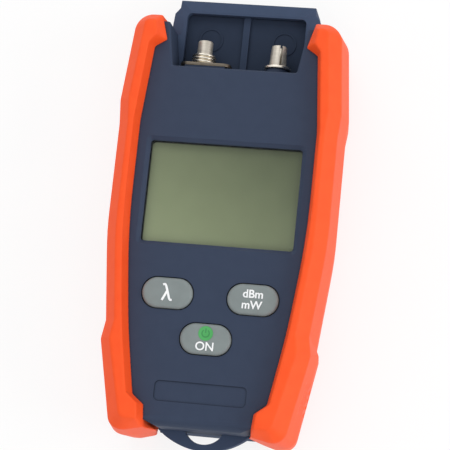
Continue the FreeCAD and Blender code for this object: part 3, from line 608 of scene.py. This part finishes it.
# %% Detector flange
def plate_with_holes(name, outline, holes, thick, bevel, top_y, finish):
    """Flat plate in a plane across Y, from filled splines: outline and holes are (n, 2) arrays."""
    curve = bpy.data.curves.new(name, "CURVE")
    curve.dimensions, curve.fill_mode = "2D", "BOTH"
    curve.extrude, curve.bevel_depth, curve.bevel_resolution = (thick / 2 - bevel), bevel, 2
    curve.offset = -bevel
    for ring in [outline, *holes]:
        spline = curve.splines.new("POLY")
        spline.points.add(len(ring) - 1)
        flat = np.concatenate((ring, np.zeros((len(ring), 1)), np.ones((len(ring), 1))), axis=1)
        spline.points.foreach_set("co", flat.ravel())
        spline.use_cyclic_u = True
    mesh = mesh_of(name, curve)
    x, z, lift = mesh_points(mesh).T
    faces = [list(face.vertices) for face in mesh.polygons]
    placed = np.stack((x, top_y - thick / 2 + lift, z), axis=1)
    return new_piece(name, placed, faces, finish)


def rounded_outline(low, high, radius, count=7):
    """Rectangle with round corners, anticlockwise."""
    corners = ((high[0], high[1], 0), (low[0], high[1], 90), (low[0], low[1], 180), (high[0], low[1], 270))
    pieces = [arc((x - math.copysign(radius, x - (low[0] + high[0]) / 2),
                   y - math.copysign(radius, y - (low[1] + high[1]) / 2)), radius, a, a + 90, count)
              for x, y, a in corners]
    return np.concatenate(pieces)


FLANGE_THICK, FLANGE_CORNER, SCREW_INSET, SCREW_HOLE_R = 1.1, 2.4, 2.3, 2.0
flange_mid = (port_low[0] + port_high[0]) / 2
screw_x = [flange_mid + way * ((port_high[0] - port_low[0]) / 2 - SCREW_INSET) for way in (-1, 1)]
outline = rounded_outline((port_low[0], port_low[2]), (port_high[0], port_high[2]), FLANGE_CORNER)
holes = [arc((left_x, axis_z), THREAD_R - 0.4, 0, 352.5, 48),
         *(arc((x, axis_z), SCREW_HOLE_R, 0, 345, 24) for x in screw_x)]
flange = plate_with_holes("detector_flange", outline, holes, FLANGE_THICK, 0.12, flange_top,
                          brushed_nickel_painted_dark)
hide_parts("detector_port")
print("flange points:", len(flange.data.vertices))

# %% [markdown]
# ## Visible light port
# A round disc carries a tapered bush with a slit, which lets it spring onto the ferrule. The
# slit is left open in the sweep itself: the profile goes round less than a full turn, and its
# two ends are closed by flat faces.

# %% Light port
DISC_THICK, ROOT_R, TIP_R = 0.9, 2.85, 2.45
disc_bore_r = ROOT_R + 0.03
disc_low, disc_high = mm_box("light_port")
right_x = (disc_low[0] + disc_high[0]) / 2
disc_r, disc_top = (disc_high[0] - disc_low[0]) / 2, disc_high[1]
disc = np.concatenate(([(disc_bore_r, disc_low[1]), (SEAT_R, disc_low[1]), (SEAT_R, disc_top - DISC_THICK),
                        (disc_r - 0.15, disc_top - DISC_THICK)],
                       arc((disc_r - 0.2, disc_top - DISC_THICK + 0.2), 0.2, -75, 0, 4),
                       arc((disc_r - 0.25, disc_top - 0.25), 0.25, 0, 90, 5), [(disc_bore_r, disc_top)]))
light_disc = turned("light_port_disc", disc, (right_x, axis_z, SOLID_R), nickel, "nickel_plate")
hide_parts("light_port")
tip = mm_box("light_sleeve")[1][1]
bush = np.concatenate(([(FERRULE_R, disc_top + 0.15), (ROOT_R, disc_top + 0.02)],
                       arc((TIP_R - 0.4, tip - 0.4), 0.4, 3, 90),
                       [(FERRULE_R + 0.25, tip), (FERRULE_R, tip - 0.3)]))
slotted = turned("slotted_bush", bush, (right_x, axis_z, SOLID_R), satin_nickel, "nickel_plate",
                 slit=0.8, slit_turn=66)
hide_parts("light_sleeve")
print("light bush to", tip, "disc radius", disc_r)


# %% [markdown]
# ## Keys
# Each key is a moulded silicone cap in the shape of a stadium. All of its sections are the
# same stadium at another radius, so one profile of (radius, height) pairs describes the whole
# cap: flange, skirt, rounded shoulder and a crown that rises a little towards the middle.

# %% Keys
def stadium_piece(name, centre, half_straight, profile, finish, body, around=40):
    """Loft of stadiums: x = cx +- half_straight + r cos a, y = cy + r sin a, z from the profile."""
    turn = np.linspace(-math.pi / 2, math.pi / 2, around)
    turn = np.concatenate((turn, turn + math.pi))
    shift = np.repeat((half_straight, -half_straight), around)
    profile = np.asarray(profile, float)
    r, z = profile[:, :1], profile[:, 1:]
    points = np.stack((centre[0] + shift + r * np.cos(turn), centre[1] + r * np.sin(turn), z + 0 * turn),
                      axis=-1)
    rows, columns = len(profile), 2 * around
    faces = grid_faces(rows, columns).tolist()
    faces += [list(range(columns))[::-1], list(range((rows - 1) * columns, rows * columns))]
    return new_piece(name, points.reshape(-1, 3), faces, finish, body)


KEY_LONG, KEY_WIDE, SHOULDER = 16.3, 9.8, 1.1
FLANGE_TOP, FLANGE_DEEP, CROWN_FALL = 29.0, 1.0, 0.14
key_tops = {}
for name in ("wavelength", "unit", "power"):
    low, high = mm_box(name + "_key")
    cx, cy = (low[:2] + high[:2]) / 2
    top, brim = high[2], (high[0] - low[0] - KEY_LONG) / 2
    r, straight = KEY_WIDE / 2, (KEY_LONG - KEY_WIDE) / 2
    crown_r = np.linspace(r - SHOULDER - 0.05, 0.4, 12)
    crown = np.stack((crown_r, top - CROWN_FALL * (crown_r / r) ** 2), axis=1)
    shoulder = arc((r - SHOULDER, top - SHOULDER - 0.1), SHOULDER, 0, 84, 10)
    flange_rim = [(0.4, FLANGE_TOP - FLANGE_DEEP), (r + brim, FLANGE_TOP - FLANGE_DEEP),
                  (r + brim, FLANGE_TOP), (r, FLANGE_TOP)]
    profile = np.concatenate((flange_rim, shoulder, crown))
    cap = stadium_piece(name + "_cap", (cx, cy), straight, profile, grey_silicone,
                        name + "_key")
    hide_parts(name + "_key")
    key_tops[name] = (cx, cy, top)
print("keys at", {name: [round(float(v), 2) for v in place] for name, place in key_tops.items()})


# %% [markdown]
# ## Key legends
# The marks are pad-printed. They are generic: the Greek letter for wavelength, the two units
# of optical power, and the usual power symbol with ON. Words come from a font and are centred
# on their own box. The Greek letter is drawn as two strokes, because a thickened glyph of it
# folds over itself.

# %% Legends
PRINT = 0.04                  # thickness of the pad print


def legend(name, text, place, height, finish, body, weight):
    """Text as a mesh, centred on place, so that its capitals are height mm tall."""
    font = bpy.data.curves.new(name, "FONT")
    font.body, font.align_x, font.align_y = text, "CENTER", "CENTER"
    font.size, font.extrude, font.offset = height / 0.73, PRINT / 2, weight
    mesh = mesh_of(name, font)
    points = mesh_points(mesh)
    points[:, :2] -= (points[:, :2].max(axis=0) + points[:, :2].min(axis=0)) / 2
    faces = [list(face.vertices) for face in mesh.polygons]
    return new_piece(name, points + np.array(place), faces, finish, body)


def ring_mark(name, centre, z, inner, outer, start, stop, finish, body, thick=PRINT):
    """Flat ring or part of one round centre, between two radii, from start to stop degrees."""
    whole = stop - start >= 360
    turn = np.radians(np.linspace(start, stop, 65)[:64 if whole else 65])
    section = np.array([(inner, z - thick / 2), (outer, z - thick / 2), (outer, z + thick / 2),
                        (inner, z + thick / 2)])
    r, h = section[:, :1], section[:, 1:]
    points = np.stack((centre[0] + r * np.cos(turn), centre[1] + r * np.sin(turn), h + 0 * turn), axis=-1)
    faces = grid_faces(4, len(turn), loop_rows=True, loop_columns=whole).tolist()
    if not whole:
        ends = np.arange(4) * len(turn)
        faces += [ends.tolist(), (ends + len(turn) - 1).tolist()[::-1]]
    return new_piece(name, points.reshape(-1, 3), faces, finish, body)


def above(name, dy=0.0):
    """Point just over a key's crown, dy mm up the key."""
    cx, cy, top = key_tops[name]
    return cx, cy + dy, top + 0.05


def stroked(name, lines, width, place, finish, body):
    """Flat strokes of one width along (x, y) lines whose corners are cut three times.

    Each cut puts points at a quarter and three quarters of every segment. The stroke's sides
    are the line moved by half a width across its own direction.
    """
    points, faces = [], []
    for order, line in enumerate(lines):
        line = np.asarray(line, float)
        for _ in range(3):
            cut = np.stack((0.75 * line[:-1] + 0.25 * line[1:], 0.25 * line[:-1] + 0.75 * line[1:]), axis=1)
            line = np.concatenate((line[:1], cut.reshape(-1, 2), line[-1:]))
        way = np.gradient(line, axis=0)
        way /= np.linalg.norm(way, axis=1, keepdims=True)
        side = np.stack((-way[:, 1], way[:, 0]), axis=1) * width / 2
        low, high = -PRINT / 2 + 0.003 * order, PRINT / 2 + 0.003 * order
        rows = [np.column_stack((line + sign * side, np.full(len(line), z)))
                for sign, z in ((-1, low), (1, low), (1, high), (-1, high))]
        start = len(points)
        points += np.stack(rows, axis=1).reshape(-1, 3).tolist()
        faces += (grid_faces(len(line), 4) + start).tolist()
        last = start + 4 * len(line) - 4
        faces += [[start + 3, start + 2, start + 1, start], [last, last + 1, last + 2, last + 3]]
    return new_piece(name, np.array(points) + np.array(place), faces, finish, body)


long_stroke = [(-1.5, 2.45), (-0.75, 2.75), (-0.25, 1.6), (0.35, -0.2), (1.0, -2.3), (1.75, -2.2)]
left_leg = [(0.05, 0.7), (-0.65, -0.9), (-1.45, -2.5)]
stroked("wavelength_mark", [long_stroke, left_leg], 0.72, above("wavelength"), legend_white,
        "wavelength_key")
legend("unit_mark_dbm", "dBm", above("unit", dy=1.75), 2.6, legend_white, "unit_key", 0.09)
legend("unit_mark_mw", "mW", above("unit", dy=-1.75), 2.6, legend_white, "unit_key", 0.09)
legend("power_word", "ON", above("power", dy=-2.3), 2.75, legend_white, "power_key", 0.07)
spot = above("power", dy=1.75)
ring_mark("power_dot", spot, spot[2], 0.01, 2.3, 0, 360, legend_green, "power_key")
ring_mark("power_ring", spot, spot[2] + 0.03, 0.95, 1.35, 125, 415, legend_dark, "power_key")
bar = [(x, y, z) for z in (-PRINT / 2, PRINT / 2)
       for x, y in ((-0.2, 0.1), (0.2, 0.1), (0.2, 1.6), (-0.2, 1.6))]
new_piece("power_bar", np.array(bar) + np.array((spot[0], spot[1], spot[2] + 0.03)),
          [(0, 3, 2, 1), (4, 5, 6, 7), (0, 1, 5, 4), (1, 2, 6, 5), (2, 3, 7, 6), (3, 0, 4, 7)],
          legend_dark, "power_key")


# %% [markdown]
# ## Rings on the floor of the bay
# Two faint round bosses stand on the floor behind the ports. They are the same ring as the
# power symbol's, thicker, and in the cover's own plastic.

# %% Ring bosses
RING_ASIDE, RING_ABOVE_PANEL, RING_THICK = 0.6, 10.6, 0.36
floor_z, panel_y = mm_box("port_panel")[0][2], mm_box("port_panel")[1][1]
for name, x in (("bay_ring_left", left_x), ("bay_ring_right", right_x)):
    ring_mark(name, (x + RING_ASIDE, panel_y + RING_ABOVE_PANEL), floor_z + 0.1, 3.4, 4.0, 0, 360,
              rear_slate_painted_light_and_shade, "case", thick=RING_THICK)
print("rings on the bay floor at x:", round(float(left_x), 1), round(float(right_x), 1))


# %% [markdown]
# ## Case screws
# The four screws at the back are pan heads with a cross recess, sunk in the case. The top of a
# head is a square grid bent to a disc, x sqrt(1 - y^2 / 2), which keeps the middle straight,
# so the walls of the cross follow the grid's lines.

# %% Screws
def cross_head_screws(name, node, head_r, head_high, shank_r, cross_half, cross_reach, cross_deep):
    """Screws whose heads face -Z, one at each corner of the node's compound."""
    spots = mesh_points(nodes[node].data) / MM
    mid = (spots.max(axis=0) + spots.min(axis=0)) / 2
    half = np.array((0, cross_half - 0.05, cross_half + 0.05, 0.9, cross_reach - 0.05, cross_reach + 0.05,
                     1.9, 2.25, 2.5, head_r)) / head_r
    line = np.concatenate((-half[:0:-1], half))
    u, v = np.meshgrid(line, line, indexing="ij")
    x, y = head_r * u * np.sqrt(1 - v ** 2 / 2), head_r * v * np.sqrt(1 - u ** 2 / 2)
    far, near = np.maximum(abs(u), abs(v)) * head_r, np.minimum(abs(u), abs(v)) * head_r
    cross = (near < cross_half) & (far < cross_reach)
    fall = np.clip(np.hypot(x, y) / head_r, 0, 1)
    height = head_high * (1 - 0.15 * fall ** 2 - 0.35 * fall ** 8) - cross_deep * cross
    count = len(line)
    index = np.arange(count * count).reshape(count, count)
    rim = np.concatenate((index[0, :-1], index[:-1, -1], index[-1, :0:-1], index[:0:-1, 0]))
    turn = np.arctan2(y.ravel()[rim], x.ravel()[rim])
    points, faces = [], []
    for way_x in (-1, 1):
        for way_y in (-1, 1):
            here = spots[((spots[:, 0] - mid[0]) * way_x > 0) & ((spots[:, 1] - mid[1]) * way_y > 0)]
            low, high = here.min(axis=0), here.max(axis=0)
            cx, cy, seat = (low[0] + high[0]) / 2, (low[1] + high[1]) / 2, low[2] + head_high
            top = np.column_stack((cx + x.ravel(), cy + y.ravel(), seat - height.ravel()))
            rings = [np.column_stack((cx + r * np.cos(turn), cy + r * np.sin(turn), np.full(len(turn), z)))
                     for r, z in ((head_r, top[rim, 2].mean()), (head_r, seat),
                                  (shank_r, seat), (shank_r, high[2]))]
            start = len(points)
            points += top.tolist() + np.concatenate(rings).tolist()
            faces += (grid_faces(count, count, loop_columns=False) + start).tolist()
            faces += (grid_faces(4, len(turn)) + start + count * count).tolist()
            faces.append((start + count * count + 3 * len(turn) + np.arange(len(turn))).tolist())
    screws = new_piece(name, points, faces, zinc)
    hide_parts(node)
    return screws


screws = cross_head_screws("cross_head_screws", "case_screws", head_r=2.7, head_high=2.0, shank_r=1.5,
                           cross_half=0.38, cross_reach=1.55, cross_deep=1.1)
print("screws:", len(screws.data.polygons), "faces")


# %% [markdown]
# ## Soft moulded edges
# No moulded or plated edge is a knife edge. A weld joins the split corners of each solid and
# a narrow bevel rounds every edge that is sharper than 35 degrees.

# %% Round the edges of the solids
def soften(solid, radius):
    """Weld, then a narrow bevel on the sharp edges of a solid."""
    weld = solid.modifiers.new("weld", "WELD")
    weld.merge_threshold = 0.002 * MM
    edge = solid.modifiers.new("soft_edges", "BEVEL")
    edge.width, edge.segments = radius, 2
    edge.limit_method, edge.angle_limit = "ANGLE", math.radians(35)


for name in ("front_cover", "rear_cover", "battery_door", "port_panel"):
    soften(nodes[name], 0.25 * MM)
print("softened: the covers, the door and the panel")


# %% [markdown]
# ## Floor
# A large sheet of white paper takes a faint shadow. The eye, gloss and glass see it mostly as
# plain white at strength 1, and light that bounces meets real paper, so nothing adds light to
# the meter.

# %% Floor
def floor_plate(half, level):
    """Square white floor at a level, as one grid of 9 by 9 points."""
    u, v = np.meshgrid(np.linspace(-half, half, 9), np.linspace(-half, half, 9), indexing="ij")
    points = np.stack((u, v, np.full_like(u, level)), axis=-1).reshape(-1, 3)
    quads = grid_faces(9, 9, loop_columns=False)[:, ::-1]
    mesh = bpy.data.meshes.new("floor")
    mesh.from_pydata(points.tolist(), [], quads.tolist())
    made = bpy.data.objects.new("floor", mesh)
    scene.collection.objects.link(made)
    return made


floor = floor_plate(1.5, cad_box[0][2] - 0.02 * MM)


def seen_directly(tree):
    """1 for the rays of the eye, of gloss and of glass, and 0 for light that bounces."""
    path = add(tree, "LightPath").outputs
    seen = add(tree, "Math", {0: path["Is Camera Ray"], 1: path["Is Glossy Ray"]}, operation="MAXIMUM")
    return add(tree, "Math", {0: seen.outputs["Value"], 1: path["Is Transmission Ray"]},
               operation="MAXIMUM").outputs["Value"]


def white_sweep(name, keep):
    """Matt white paper that the eye sees as keep parts of paper and the rest plain white."""
    made, tree, shader = shader_material(name, Roughness=0.8, Specular_IOR_Level=0.1)
    tree.links.new(blend_colours(tree, noise(tree, 30 * MM), srgb("#f6f7f8"), srgb("#fbfbfb")),
                   shader.inputs["Base Color"])
    plain = add(tree, "Emission", {"Color": (1, 1, 1, 1), "Strength": 1.0})
    share = add(tree, "Math", {0: seen_directly(tree), 1: 1 - keep}, operation="MULTIPLY")
    mix = add(tree, "MixShader", {0: share.outputs["Value"], 1: shader.outputs["BSDF"],
                                  2: plain.outputs["Emission"]})
    end = next(node for node in tree.nodes if node.type == "OUTPUT_MATERIAL")
    tree.links.new(mix.outputs["Shader"], end.inputs["Surface"])
    return made


floor.data.materials.append(white_sweep("white_paper_sweep", 0.2))
print("floor at mm:", round(cad_box[0][2] / MM - 0.02, 3))


# %% [markdown]
# ## Light
# The world is white for the eye, gloss and glass, and a little lower as a lamp. Three broad
# soft lamps stand high above the keys, low on the right and over the hood. The first fills
# the bay from the side that the camera sees, and the others shade the bevels of the grips.

# %% World and lamps
def soft_world(light):
    """White world that the eye, gloss and glass see at strength 1, and that lights at light."""
    world = bpy.data.worlds.new("studio")
    tree = empty_tree(world)
    level = add(tree, "MapRange", {"Value": seen_directly(tree), "To Min": light, "To Max": 1.0})
    out = add(tree, "Background", {"Color": (1, 1, 1, 1), "Strength": level.outputs["Result"]})
    add(tree, "OutputWorld", {"Surface": out.outputs["Background"]})
    scene.world = world


def soft_lamp(name, place, target, size, power):
    """Square area lamp of that size at place, turned towards target."""
    data = bpy.data.lights.new(name, "AREA")
    data.size, data.energy = size, power
    lamp = bpy.data.objects.new(name, data)
    back = np.array(place) - np.array(target)
    back /= np.linalg.norm(back)
    side = np.cross((0, 1, 0.1), back)
    side /= np.linalg.norm(side)
    turned = np.eye(4)
    turned[:3, :3] = np.stack((side, np.cross(back, side), back), axis=1)
    turned[:3, 3] = place
    lamp.matrix_world = Matrix(turned.tolist())
    scene.collection.objects.link(lamp)


METER = (0, 0, 0.02)          # what the lamps look at
soft_world(0.72)
for name, place, size, watts in (("front_lamp", (0.1, -0.5, 0.85), 0.7, 1.3),
                                 ("side_lamp", (0.85, -0.1, 0.42), 0.6, 3.2),
                                 ("head_lamp", (-0.25, 0.75, 0.7), 0.7, 2.4)):
    soft_lamp(name, place, METER, size, watts)
scene.view_settings.view_transform = "Standard"
